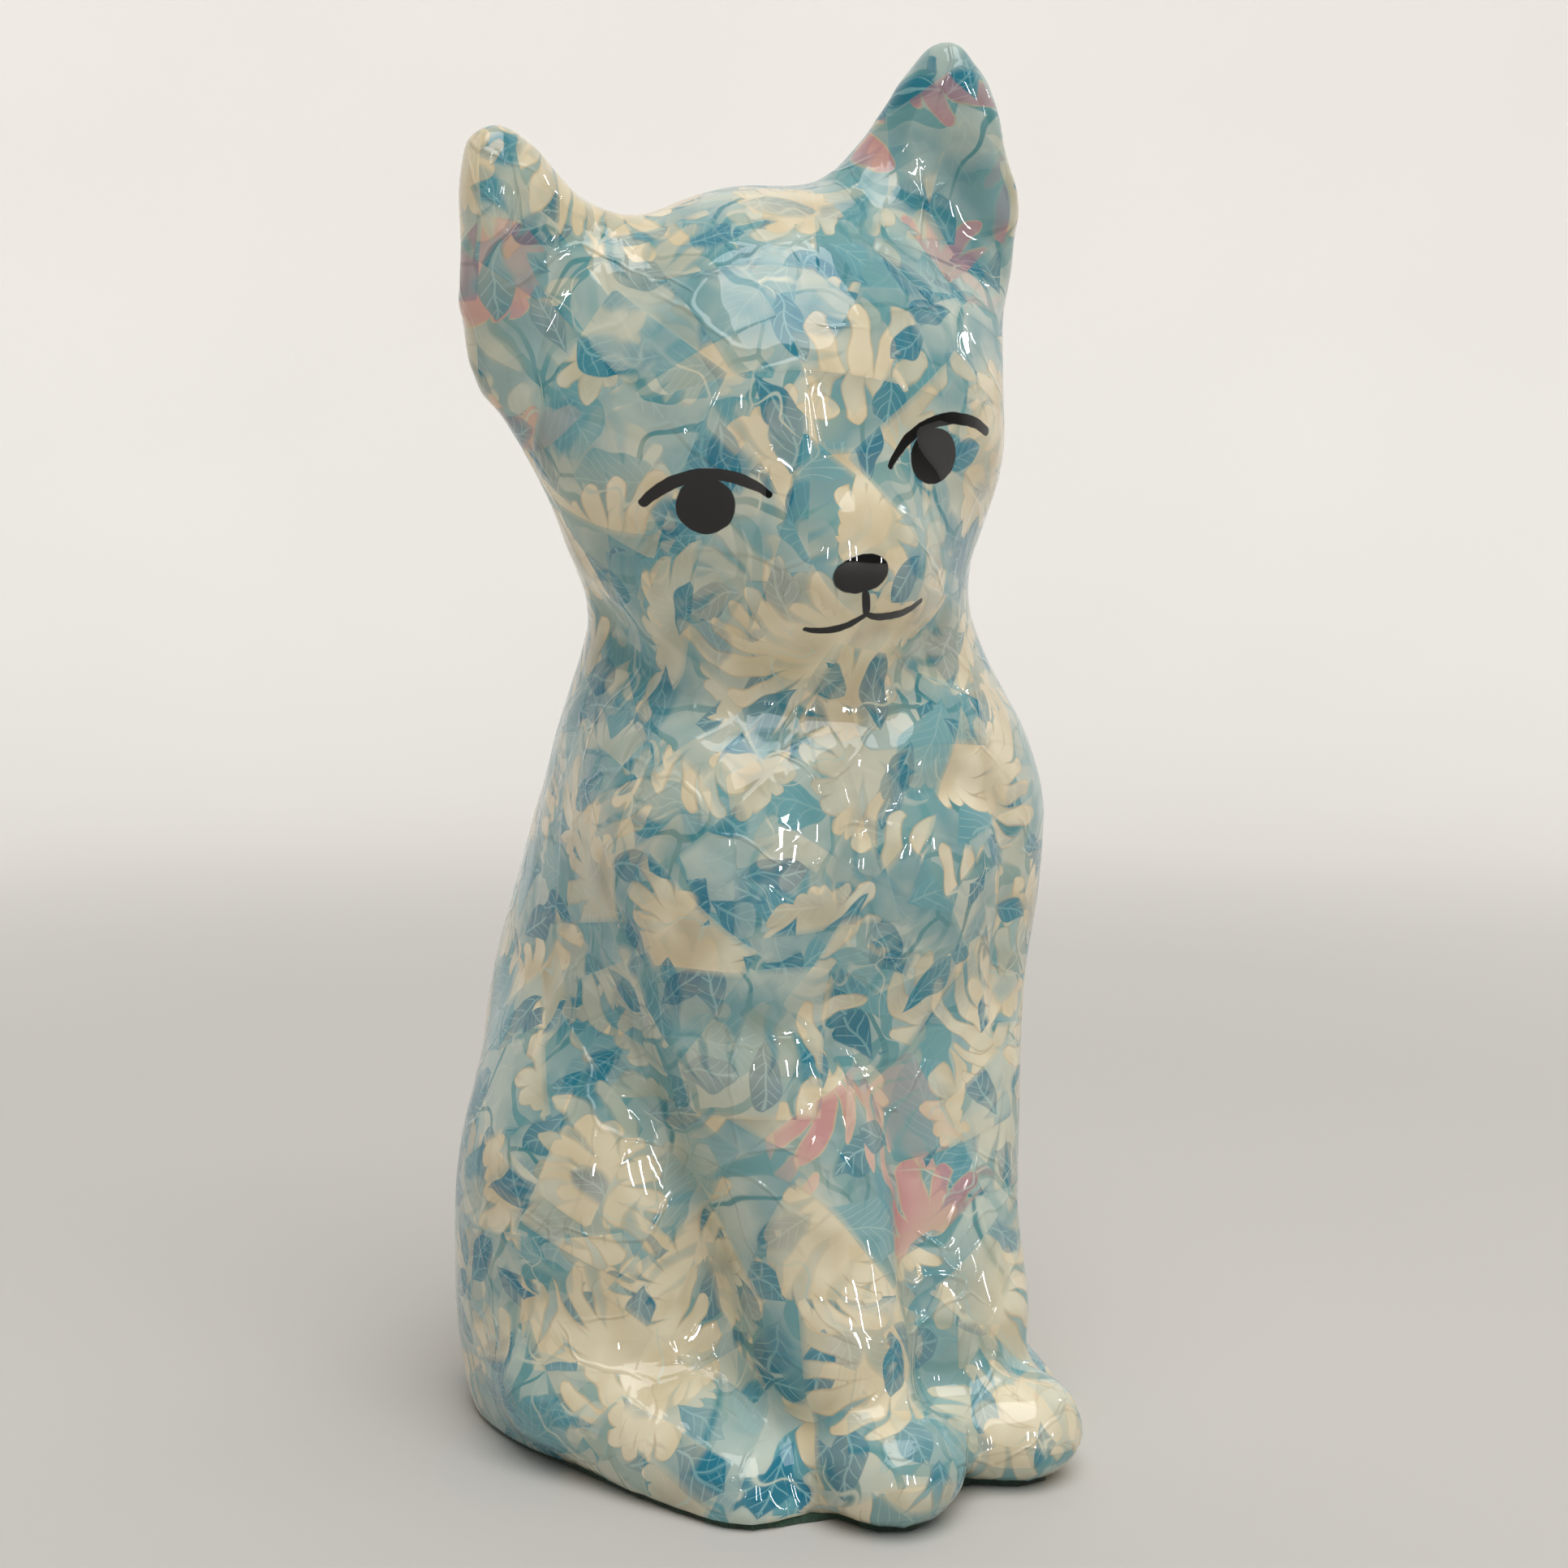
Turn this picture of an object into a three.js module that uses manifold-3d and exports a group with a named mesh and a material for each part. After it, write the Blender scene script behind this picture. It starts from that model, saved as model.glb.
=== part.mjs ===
// Ceramic kitten statuette: a sitting kitten, slip cast in one piece, that turns and tilts its
// head. It stands on a thin felt pad. Millimetres, +Z up, the kitten's chest faces -Y and its
// left side is +X. The origin is at the middle of the footprint, on the table.
import * as THREE from "three";
import { mergeVertices } from "three/addons/utils/BufferGeometryUtils.js";
import Module from "manifold-3d";

// Driving dimensions, measured from the spine's foot
const feltThickness = 1.5;
const feltInset = 1.5;
const notchBridge = 12;
const headCentre = [-8.5, -8, 186.5];
const headNod = 9.5;
const headTilt = -13;
const headTurn = -23;
const faceShift = -2.5;
const chestLevel = 115;
const shoulderSpread = 23.5;
const shoulderLevel = 115.5;
const elbowLevel = 84;
const legSpread = 15.5;
const pawSpread = 15;
const thighSpread = 30;
const thighLevel = 41.5;

// How softly neighbouring forms run into each other
const fleshBlend = 16;
const neckBlend = 14;
const faceBlend = 16;
const breastBlend = 14;
const limbBlend = 9;
const earBlend = 15;
const rimBlend = 9;
const ankleBlend = 6;

// The lattice that the surface is drawn on
const latticeStep = 5;
const sides = [-1, 1];

// Distance to an ellipsoid, true close to its surface
function ellipsoid(centre, radii) {
  const c = new THREE.Vector3(...centre);
  const r = new THREE.Vector3(...radii);
  const near = new THREE.Vector3();
  return (p) => {
    near.subVectors(p, c).divide(r);
    const unit = near.length();
    const slope = near.divide(r).length();
    return slope > 0 ? (unit * (unit - 1)) / slope : -Math.min(r.x, r.y, r.z);
  };
}

// Distance to a straight limb that tapers from one radius to another
function limb(from, to, radiusFrom, radiusTo) {
  const a = new THREE.Vector3(...from);
  const along = new THREE.Vector3(...to).sub(a);
  const lengthSq = along.lengthSq();
  const near = new THREE.Vector3();
  return (p) => {
    near.subVectors(p, a);
    const t = THREE.MathUtils.clamp(near.dot(along) / lengthSq, 0, 1);
    near.addScaledVector(along, -t);
    return near.length() - THREE.MathUtils.lerp(radiusFrom, radiusTo, t);
  };
}

// Limbs end to end along a chain of joints, each given as [x, y, z, radius]
function chain(joints) {
  const links = joints.slice(1).map((to, i) => {
    const from = joints[i];
    return limb(from.slice(0, 3), to.slice(0, 3), from[3], to[3]);
  });
  return (p) => Math.min(...links.map((link) => link(p)));
}

// Two distances joined with a fillet of about the given size
function soften(a, b, size) {
  const h = Math.max(size - Math.abs(a - b), 0) / size;
  return Math.min(a, b) - (h * h * size) / 4;
}

function join(size, forms) {
  return (p) => forms.map((form) => form(p)).reduce((a, b) => soften(a, b, size));
}

// A form that was described in the frame of an Object3D
function inFrame(frame, form) {
  frame.updateMatrixWorld(true);
  const toLocal = frame.matrixWorld.clone().invert();
  const local = new THREE.Vector3();
  return (p) => form(local.copy(p).applyMatrix4(toLocal));
}

// One ear: an inner ridge, the back of the cup and an outer rim, all running up to the tip
function ear(side) {
  const ridge = chain([
    [side * 20.5, 1, 22, 9],
    [side * 33, -2, 43, 6],
    [side * 40.5, -9, 57.5, 4],
  ]);
  const back = chain([
    [side * 28.5, 1, 18.5, 13.5],
    [side * 34, 0, 37, 9.5],
    [side * 38.5, -5, 49, 5],
  ]);
  const rim = chain([
    [side * 34.5, -4, 13, 8],
    [side * 44.5, -2, 21, 6],
    [side * 46, -8, 32, 5.5],
    [side * 43, -11.5, 49, 4.5],
  ]);
  return join(rimBlend, [ridge, back, rim]);
}

// The head, in its own frame: the face looks along -Y
function headForm() {
  const skull = ellipsoid([0, 0.5, 8], [31, 30, 35.5]);
  const brow = ellipsoid([0, -11, 6.5], [37, 24.5, 26.5]);
  const cheeks = sides.map((side) => ellipsoid([side * 14.5, -7, -8], [24, 22, 19.5]));
  const muzzle = ellipsoid([faceShift, -30.5, -20], [14, 16, 11]);
  const bridge = limb([faceShift, -24.5, 4], [faceShift, -38, -12.5], 8.5, 3);
  const chin = ellipsoid([faceShift, -22, -25], [17, 15, 10]);
  const face = join(faceBlend, [skull, brow, ...cheeks, muzzle, bridge, chin]);
  return join(earBlend, [face, ...sides.map(ear)]);
}

function placedHead() {
  const frame = new THREE.Object3D();
  const [nod, tilt, turn] = [headNod, headTilt, headTurn].map(THREE.MathUtils.degToRad);
  frame.position.set(...headCentre);
  frame.rotation.set(nod, tilt, turn, "ZYX");
  return inFrame(frame, headForm());
}

function foreleg(side) {
  const leg = chain([
    [side * shoulderSpread, -15, shoulderLevel, 20.5],
    [side * shoulderSpread, -20.5, elbowLevel, 16],
    [side * legSpread, -31, 43.5, 13.5],
    [side * (legSpread - 1), -35.5, 26, 13.5],
  ]);
  const paw = ellipsoid([side * pawSpread, -49, 9], [12.5, 13.5, 10]);
  return join(ankleBlend, [leg, paw]);
}

function hindLeg(side) {
  const thigh = ellipsoid([side * thighSpread, 17.5, thighLevel], [23, 30, 42.5]);
  const foot = limb([side * 44.5, 7, 14.5], [side * 31, -31.5, 3.5], 10.5, 11);
  return join(limbBlend, [thigh, foot]);
}

// The tail lies on the table, around the kitten's left side
function tailForm() {
  return chain([
    [4, 62, 11, 8.5],
    [30, 55, 10, 8],
    [46, 37, 9, 7.5],
    [50, 12, 8, 7],
    [46, -10, 7, 6],
  ]);
}

function bodyForm() {
  const belly = ellipsoid([0, 22, 53.5], [42, 48.5, 85]);
  const seat = ellipsoid([0, 22, 13.5], [49, 44, 46]);
  const chest = ellipsoid([4.5, 0.5, chestLevel], [44.5, 44.5, 44]);
  const neck = limb([0, -2.5, 136.5], [-1, -1.5, 165], 35.5, 33.5);
  const trunk = join(fleshBlend, [belly, seat, chest, neck]);
  const breast = chain([
    [0, -12.5, 120, 25.5],
    [0, -22, 89, 17],
    [0, -27.5, 56, 9.5],
  ]);
  const web = limb([0, -18.5, 66], [0, -23, 8], 19, 17);
  const front = join(breastBlend, [trunk, breast, web, ...sides.map(foreleg)]);
  return join(limbBlend, [front, ...sides.map(hindLeg), tailForm()]);
}

// Moves a point along the slope of the field until it lies on the surface
function settle(point, field) {
  const probe = new THREE.Vector3();
  const slope = new THREE.Vector3();
  const reach = 0.05;
  for (let round = 0; round < 3; round += 1) {
    const d = field(point);
    slope.set(
      field(probe.copy(point).setX(point.x + reach)) - d,
      field(probe.copy(point).setY(point.y + reach)) - d,
      field(probe.copy(point).setZ(point.z + reach)) - d,
    );
    slope.divideScalar(reach);
    point.addScaledVector(slope, -d / slope.lengthSq());
  }
}

// Calls visit(i, j, k) for each whole step from low up to each count
function eachStep(low, counts, visit) {
  for (let k = low; k < counts[2]; k += 1)
    for (let j = low; j < counts[1]; j += 1)
      for (let i = low; i < counts[0]; i += 1) visit(i, j, k);
}

// Where the surface crosses the edges of one lattice cell, on average, or null if it doesn't
function crossingOf(values, corners) {
  const middle = new THREE.Vector3();
  let crossings = 0;
  for (let a = 0; a < corners.length; a += 1)
    for (const bit of [1, 2, 4]) {
      const b = a | bit;
      if (b === a || values[a] < 0 === values[b] < 0) continue;
      const t = values[a] / (values[a] - values[b]);
      middle.add(corners[a].clone().lerp(corners[b], t));
      crossings += 1;
    }
  return crossings > 0 ? middle.divideScalar(crossings) : null;
}

// The surface of a field, as one closed mesh: a vertex in each lattice cell that the surface
// crosses, and a quad around each lattice edge that crosses the surface
function surfaceOf(field, room, step) {
  const size = room.getSize(new THREE.Vector3());
  const counts = [size.x, size.y, size.z].map((length) => Math.ceil(length / step) + 1);
  const cells = counts.map((count) => count - 1);
  const at = (i, j, k) => (k * counts[1] + j) * counts[0] + i;
  const place = (point) => point.multiplyScalar(step).add(room.min);

  const values = new Float32Array(counts[0] * counts[1] * counts[2]);
  eachStep(0, counts, (i, j, k) => {
    values[at(i, j, k)] = field(place(new THREE.Vector3(i, j, k)));
  });

  const vertexOf = new Int32Array(values.length);
  const positions = [];
  const corners = [];
  for (let c = 0; c < 8; c += 1) corners.push(new THREE.Vector3(c & 1, (c >> 1) & 1, c >> 2));
  eachStep(0, cells, (i, j, k) => {
    const around = corners.map((c) => values[at(i + c.x, j + c.y, k + c.z)]);
    const point = crossingOf(around, corners);
    if (!point) return;
    place(point.add(new THREE.Vector3(i, j, k)));
    settle(point, field);
    vertexOf[at(i, j, k)] = positions.length / 3;
    positions.push(point.x, point.y, point.z);
  });

  const index = [];
  const axes = [new THREE.Vector3(1, 0, 0), new THREE.Vector3(0, 1, 0), new THREE.Vector3(0, 0, 1)];
  eachStep(1, cells, (i, j, k) => {
    axes.forEach((axis, which) => {
      const here = values[at(i, j, k)] < 0;
      const next = values[at(i + axis.x, j + axis.y, k + axis.z)] < 0;
      if (here === next) return;
      const u = axes[(which + 1) % 3];
      const w = axes[(which + 2) % 3];
      const cell = (a, b) =>
        vertexOf[at(i - a * u.x - b * w.x, j - a * u.y - b * w.y, k - a * u.z - b * w.z)];
      const quad = [cell(0, 0), cell(1, 0), cell(1, 1), cell(0, 1)];
      if (!here) quad.reverse();
      index.push(quad[0], quad[1], quad[2], quad[0], quad[2], quad[3]);
    });
  });
  const geometry = new THREE.BufferGeometry();
  geometry.setAttribute("position", new THREE.Float32BufferAttribute(positions, 3));
  geometry.setIndex(index);
  return geometry;
}

const wasm = await Module();
wasm.setup();

function toSolid(geometry) {
  const bare = geometry.clone();
  bare.deleteAttribute("normal");
  bare.deleteAttribute("uv");
  const merged = mergeVertices(bare);
  return new wasm.Manifold(
    new wasm.Mesh({
      numProp: 3,
      vertProperties: merged.attributes.position.array,
      triVerts: new Uint32Array(merged.index.array),
    }),
  );
}

function toGeometry(solid) {
  const mesh = solid.getMesh();
  const geometry = new THREE.BufferGeometry();
  geometry.setAttribute("position", new THREE.BufferAttribute(mesh.vertProperties, 3));
  geometry.setIndex(new THREE.BufferAttribute(mesh.triVerts, 1));
  return geometry;
}

// The kitten's surface, closed under the table and then cut flat above the felt
function kittenGeometry(form) {
  const depthBelow = 6;
  const closed = (p) => Math.max(form(p), -depthBelow - p.z);
  const room = new THREE.Box3(new THREE.Vector3(-76, -78, -14), new THREE.Vector3(76, 84, 272));
  const whole = surfaceOf(closed, room, latticeStep);
  const slab = new THREE.BoxGeometry(200, 200, 40).translate(0, 0, feltThickness - 20);
  return toGeometry(toSolid(whole).subtract(toSolid(slab)));
}

// The outline of the foot, from a ray in each direction that stops at the form
function footOutline(form, centre, rayCount) {
  const outline = [];
  for (let n = 0; n < rayCount; n += 1) {
    const angle = (n / rayCount) * 2 * Math.PI;
    const out = new THREE.Vector3(Math.cos(angle), Math.sin(angle), 0);
    let reach = 90;
    const point = new THREE.Vector3();
    for (let round = 0; round < 60; round += 1) {
      point.copy(centre).addScaledVector(out, reach);
      reach -= 0.8 * form(point);
    }
    outline.push(new THREE.Vector2(point.x, point.y).addScaledVector(out, -feltInset));
  }
  return outline;
}

// An outline with its notches rounded off: a corner that turns inwards stays only where
// bridging it would take a longer cut than notchBridge
function bridged(outline) {
  let kept = outline;
  let before;
  do {
    before = kept.length;
    kept = kept.filter((point, i) => {
      const last = kept[(i + before - 1) % before];
      const next = kept[(i + 1) % before];
      const turnsOut = point.clone().sub(last).cross(next.clone().sub(point)) > 0;
      return turnsOut || last.distanceTo(next) > notchBridge;
    });
  } while (kept.length < before);
  return kept;
}

function feltGeometry(form) {
  const centre = new THREE.Vector3(0, 5, feltThickness);
  const outline = bridged(footOutline(form, centre, 72));
  return new THREE.ExtrudeGeometry(new THREE.Shape(outline), {
    depth: feltThickness,
    bevelEnabled: false,
  });
}

function named(name, geometry, material) {
  const mesh = new THREE.Mesh(geometry, material);
  mesh.name = name;
  return mesh;
}

const body = bodyForm();
const head = placedHead();
const form = (p) => soften(body(p), head(p), neckBlend);

const varnished = new THREE.MeshStandardMaterial({ color: 0x9fc8cf, roughness: 0.15, metalness: 0 });
const felt = new THREE.MeshStandardMaterial({ color: 0x1e3a2c, roughness: 0.95, metalness: 0 });

const statuette = new THREE.Group();
statuette.add(named("kitten", kittenGeometry(form), varnished));
statuette.add(named("felt_pad", feltGeometry(form), felt));

// The footprint's middle comes to the origin
const middle = new THREE.Box3().setFromObject(statuette).getCenter(new THREE.Vector3());
statuette.position.set(-middle.x, -middle.y, 0);

export default statuette;
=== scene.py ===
"""Ceramic kitten statuette: a slip-cast sitting kitten, pasted over with cut pieces of printed
paper, with a brush-painted face, under a thick clear varnish, on a felt pad."""

import math

import bmesh
import bpy
import numpy as np
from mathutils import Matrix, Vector, noise


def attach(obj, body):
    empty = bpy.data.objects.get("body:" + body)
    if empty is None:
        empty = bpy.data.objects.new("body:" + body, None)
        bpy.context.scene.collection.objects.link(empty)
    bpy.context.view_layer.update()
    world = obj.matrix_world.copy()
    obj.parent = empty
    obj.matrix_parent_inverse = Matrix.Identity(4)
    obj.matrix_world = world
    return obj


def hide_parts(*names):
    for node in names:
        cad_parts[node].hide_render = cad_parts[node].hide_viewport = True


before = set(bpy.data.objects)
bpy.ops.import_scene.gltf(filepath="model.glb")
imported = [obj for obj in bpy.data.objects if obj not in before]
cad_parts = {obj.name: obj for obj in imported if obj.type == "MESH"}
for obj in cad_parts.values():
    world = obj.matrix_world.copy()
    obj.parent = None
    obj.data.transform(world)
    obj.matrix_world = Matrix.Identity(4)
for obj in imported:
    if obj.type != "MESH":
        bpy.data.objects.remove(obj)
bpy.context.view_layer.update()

# The sizes below are in millimetres, in the row frame unless they say otherwise
MM = 0.001
SPINE_FOOT = Vector((5.9, -4.9, 0.0))
FELT_TOP = 1.5

# What the modeller pressed in or left fuller between the big forms, from the spine's foot: how
# wide, how far out (in, where negative), and the points of the line it follows
MODELLING = {
    "breastbone": (4.0, -2.2, [(-16, -41, 124), (-16, -41, 103), (-14, -40, 80)]),
    "between_forelegs": (
        3.5, -3.5, [(-14, -40, 80), (-7, -42, 69), (-3, -43, 55), (-4, -45, 37), (-1, -47, 20)]
    ),
    "around_left_shoulder": (
        2.5, -1.6,
        [(-14, -42, 117), (-7, -44, 123), (5, -45, 125), (16, -43, 121), (21, -42, 109), (22, -39, 84)],
    ),
    "under_right_breast": (
        3.0, -1.6, [(-42, -12, 98), (-40, -17, 88), (-37, -30, 82), (-28, -36, 84), (-17, -39, 88)]
    ),
    "under_jaw": (
        4.5, -3.0,
        [(-38, 2, 152), (-37, -10, 143), (-33, -26, 140), (-20, -38, 139), (-9, -41, 139), (2, -41, 148)],
    ),
    "before_haunch": (
        3.5, -2.2, [(-36, -10, 65), (-32, -16, 48), (-29, -19, 30), (-29, -34, 16), (-30, -43, 7)]
    ),
    "left_ear_hollow": (5.0, -2.0, [(9, -41, 240), (11, -37, 230), (10, -37, 218)]),
    "right_breast": (11.0, 2.5, [(-32, -35, 105)]),
    "left_shoulder": (9.0, 2.2, [(-1, -44, 108)]),
    "haunch": (13.0, 3.2, [(-48, 1, 58)]),
}

# How uneven hand finishing left the surface: the height of each kind of wave, and its length
UNEVENNESS = ((0.2, 13.0), (0.04, 5.0))

# How sharp the casting's lower edge is, from 0 to 1
FOOT_CREASE = 0.85

# The head's own frame, from the spine's foot: the face looks along -Y
HEAD_CENTRE = Vector((-8.5, -8.0, 186.5))
HEAD_TURNS = (9.5, -13.0, -23.0)

# The brushwork, in the head's frame: sizes across (x) and up (z)
# Each disc has its centre's x and z and its radii
DISCS = {
    "right_eye": (-22.5, -4.0, 4.4, 4.7),
    "left_eye": (18.0, -4.2, 5.0, 4.7),
    "nose": (-2.4, -17.9, 5.0, 3.1),
}

# Brush strokes along arcs: centre x and z, radius, the direction of the arc's middle in degrees
# from +x, half of its span, the brush's half width, and how much wider it gets per mm along x
STROKES = {
    "right_lash": (-22.8, -11.7, 12.8, 86.0, 46.0, 1.05, 0.015),
    "left_lash": (19.8, -14.7, 16.1, 90.0, 45.0, 1.05, -0.008),
    "philtrum": (57.6, -23.0, 60.0, 180.0, 2.0, 0.75, 0.0),
    "right_mouth": (-8.2, -15.1, 11.6, -84.0, 25.0, 0.65, 0.0),
    "left_mouth": (5.5, -10.7, 16.4, -97.0, 22.0, 0.7, 0.0),
}

# How far the hand shook, the share of its width that a stroke loses at the ends, and how far in
# front of the head's middle the face begins
HAND_SHAKE = 0.5
STROKE_TAPER = 0.35
FACE_FRONT = 18.0

# The pieces of paper: half of their sides, how many degrees askew their edges are cut, how far
# they stretch over a round form, how many layers they lie in, and how many are tried
PAPER_HALF_SIDES = (10.5, 20.0)
PAPER_SKEW = 14.0
PAPER_STRETCH = 1.6
PAPER_LAYERS = 6
PASTE_TRIES = 5000

# A piece ends where the surface turns away from it: the least cosine between their directions,
# and the radius that it bends around
LEAST_FACING = 0.15
BEND_RADIUS = 12.0

# How far inside the cut edges a vertex counts as lying: with no edge near, as far beside a piece
# as its edge is still drawn, and bare
DEEP_INSIDE = 99.0
JUST_BESIDE = -3.0
NO_PAPER = -5.0

# The printed sheet: how much of it is cut up for the plain pieces, where its pink-flowered part
# starts, and which part is wrapped around the body, at the body's own radius
PLAIN_SHEET = 400.0
PINK_SHEET = 4000.0
WRAP_SHEET = 700.0
WRAP_RADIUS = 42.0

# Where pink-flowered pieces lie, from the spine's foot, and how far around
PINK_SPOTS = [(-62, -12, 205), (12, -35, 222), (2, -46, 205), (-33, -44, 192), (-8, -44, 55)]
PINK_REACH = 13.0

# The felt's rounded edge, and how far its fibres stand out there
FELT_EDGE = 0.35
FELT_FLUFF = 0.25

# The studio, in metres: the floor's side, and the backdrop's radius, curve and height
FLOOR_SIDE = 8.0
BACKDROP_RADIUS = 1.0
BACKDROP_CURVE = 0.6
BACKDROP_TOP = 2.6

# Each lamp's azimuth, elevation, distance, width, height (in metres), power, and whether it
# lights more than the varnish's own reflections
LAMPS = {
    "ceiling": (-20, 63, 3.9, 3.4, 3.4, 140.0, True),
    "window": (-13, 8, 3.0, 0.1, 0.9, 15.0, False),
    "far_window": (0, 6, 3.0, 0.08, 0.7, 10.0, False),
    "low_window": (26, 2, 3.0, 0.06, 0.3, 2.6, False),
    "near_window": (-50, 6, 3.0, 0.06, 0.4, 3.7, False),
    "side_lamp": (76, 24, 3.0, 0.08, 0.25, 3.1, False),
}

# The camera stands in front, to the kitten's right
CAMERA_TARGET = SPINE_FOOT + Vector((-20.0, -27.0, 125.0))
CAMERA_AZIMUTH = -40.0
CAMERA_ELEVATION = 5.0
CAMERA_DISTANCE = 373.0
CAMERA_LENS = 49.45


def merged_copy(node, name):
    """A copy of a node's mesh under a name of its own, its loose triangles joined up."""
    mesh = node.data.copy()
    mesh.name = name
    mesh.materials.clear()
    piece = bpy.data.objects.new(name, mesh)
    bpy.context.scene.collection.objects.link(piece)
    bm = bmesh.new()
    bm.from_mesh(mesh)
    bmesh.ops.remove_doubles(bm, verts=bm.verts, dist=0.001 * MM)
    bm.to_mesh(mesh)
    bm.free()
    return piece


def apply_modifiers(piece):
    """Puts the piece's modifiers into its mesh."""
    depsgraph = bpy.context.evaluated_depsgraph_get()
    made = bpy.data.meshes.new_from_object(piece.evaluated_get(depsgraph), depsgraph=depsgraph)
    made.name = piece.data.name
    piece.modifiers.clear()
    piece.data = made


def subdivided(piece, levels):
    """Adds a subdivision surface of that many levels."""
    smooth = piece.modifiers.new("smooth", "SUBSURF")
    smooth.levels = levels
    smooth.render_levels = levels
    smooth.use_limit_surface = False
    return piece


def positions(mesh):
    """The mesh's vertices in mm, one row each."""
    flat = np.empty(3 * len(mesh.vertices))
    mesh.vertices.foreach_get("co", flat)
    return flat.reshape(-1, 3) / MM


def move_to(mesh, points):
    """Moves the mesh's vertices to points in mm."""
    mesh.vertices.foreach_set("co", (points * MM).ravel())
    mesh.update()


def vertex_normals(mesh):
    """The unit normal of each vertex."""
    flat = np.empty(3 * len(mesh.vertices))
    mesh.vertex_normals.foreach_get("vector", flat)
    return flat.reshape(-1, 3)


def store(mesh, name, rows):
    """Keeps three numbers for each vertex under a name, for the material to read."""
    attribute = mesh.attributes.new(name, "FLOAT_VECTOR", "POINT")
    attribute.data.foreach_set("vector", rows.ravel())


def ripple(point, length):
    """Smooth noise from about -1 to 1, with waves about that long in mm."""
    return noise.noise(Vector(point) / length)


def modelled(points, normals):
    """How far the modelling lifts each vertex along its normal, in mm."""
    spine = points - np.array(SPINE_FOOT)
    lift = np.zeros(len(points))
    for width, height, line in MODELLING.values():
        starts = np.array(line, float)
        ends = starts[1:] if len(line) > 1 else starts
        strength = np.zeros(len(points))
        for start, end in zip(starts, ends):
            run = end - start
            part = np.clip((spine - start) @ run / max(run @ run, 1e-9), 0.0, 1.0)
            away = np.linalg.norm(spine - start - part[:, None] * run, axis=1)
            # The far side of a thin ear stays as it is
            same_side = np.clip(normals @ normals[away.argmin()], 0.0, 1.0)
            strength = np.maximum(strength, same_side * np.exp(-0.5 * (away / width) ** 2))
        lift += height * strength
    return lift


def cast_body(node):
    """The casting: the solid's lattice, made of quads, smoothed, modelled and slightly uneven."""
    piece = merged_copy(node, "kitten_body")
    bm = bmesh.new()
    bm.from_mesh(piece.data)
    bm.normal_update()
    base = [f for f in bm.faces if f.normal.z < -0.99 and f.calc_center_median().z < 2 * MM]
    bmesh.ops.dissolve_faces(bm, faces=base)
    slanted = [f for f in bm.faces if len(f.verts) == 3]
    bmesh.ops.join_triangles(
        bm, faces=slanted, angle_face_threshold=math.radians(50), angle_shape_threshold=math.radians(70)
    )
    crease = bm.edges.layers.float.new("crease_edge")
    for edge in bm.edges:
        if all(abs(v.co.z - FELT_TOP * MM) < 0.05 * MM for v in edge.verts):
            edge[crease] = FOOT_CREASE
    bm.to_mesh(piece.data)
    bm.free()

    # Smoothing pulls the surface in a little at the ears and paws, so it starts that much larger
    wanted = positions(piece.data)
    trial = piece.copy()
    trial.data = piece.data.copy()
    bpy.context.scene.collection.objects.link(trial)
    apply_modifiers(subdivided(trial, 1))
    pulled_in = wanted - positions(trial.data)[: len(wanted)]
    bpy.data.objects.remove(trial)
    pulled_in[wanted[:, 2] < FELT_TOP + 0.05] = 0
    move_to(piece.data, wanted + pulled_in)
    apply_modifiers(subdivided(piece, 2))

    points = positions(piece.data)
    normals = vertex_normals(piece.data)
    move_to(piece.data, points + normals * modelled(points, normals)[:, None])

    # The foot stays flat, and the unevenness grows over the 5 mm above it
    points = positions(piece.data)
    swell = np.array([sum(high * ripple(p, long) for high, long in UNEVENNESS) for p in points])
    above_foot = np.clip((points[:, 2] - FELT_TOP) / 5.0, 0.0, 1.0)
    move_to(piece.data, points + vertex_normals(piece.data) * (swell * above_foot)[:, None])
    piece.data.shade_smooth()
    return piece


def cut_piece(points, normals, centre, rng):
    """One piece of paper pasted at a vertex: the vertices near it, where its sheet's x and y fall
    on them, and how far inside its cut edges they lie, in mm."""
    farthest_corner = 1.8 * PAPER_HALF_SIDES[1]
    near = np.flatnonzero(np.linalg.norm(points - points[centre], axis=1) < farthest_corner)
    normal = normals[centre]
    side = np.cross(normal, rng.normal(size=3))
    side /= np.linalg.norm(side)
    up = np.cross(normal, side)
    offset = points[near] - points[centre]
    x, y = offset @ side, offset @ up
    # Paper follows the surface, so distances along it stay true
    true = np.linalg.norm(offset, axis=1)
    stretch = np.clip(true / np.maximum(np.hypot(x, y), 1e-6), 1.0, PAPER_STRETCH)
    x, y = x * stretch, y * stretch
    inside = np.full(len(near), DEEP_INSIDE)
    for quarter in range(4):
        across = math.radians(90 * quarter + rng.uniform(-PAPER_SKEW, PAPER_SKEW))
        half = rng.uniform(*PAPER_HALF_SIDES)
        inside = np.minimum(inside, half - x * math.cos(across) - y * math.sin(across))
    facing = normals[near] @ normal
    inside = np.minimum(inside, (facing - LEAST_FACING) * BEND_RADIUS)
    held = inside > JUST_BESIDE
    return near[held], np.stack([x, y, inside], axis=1)[held]


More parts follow.
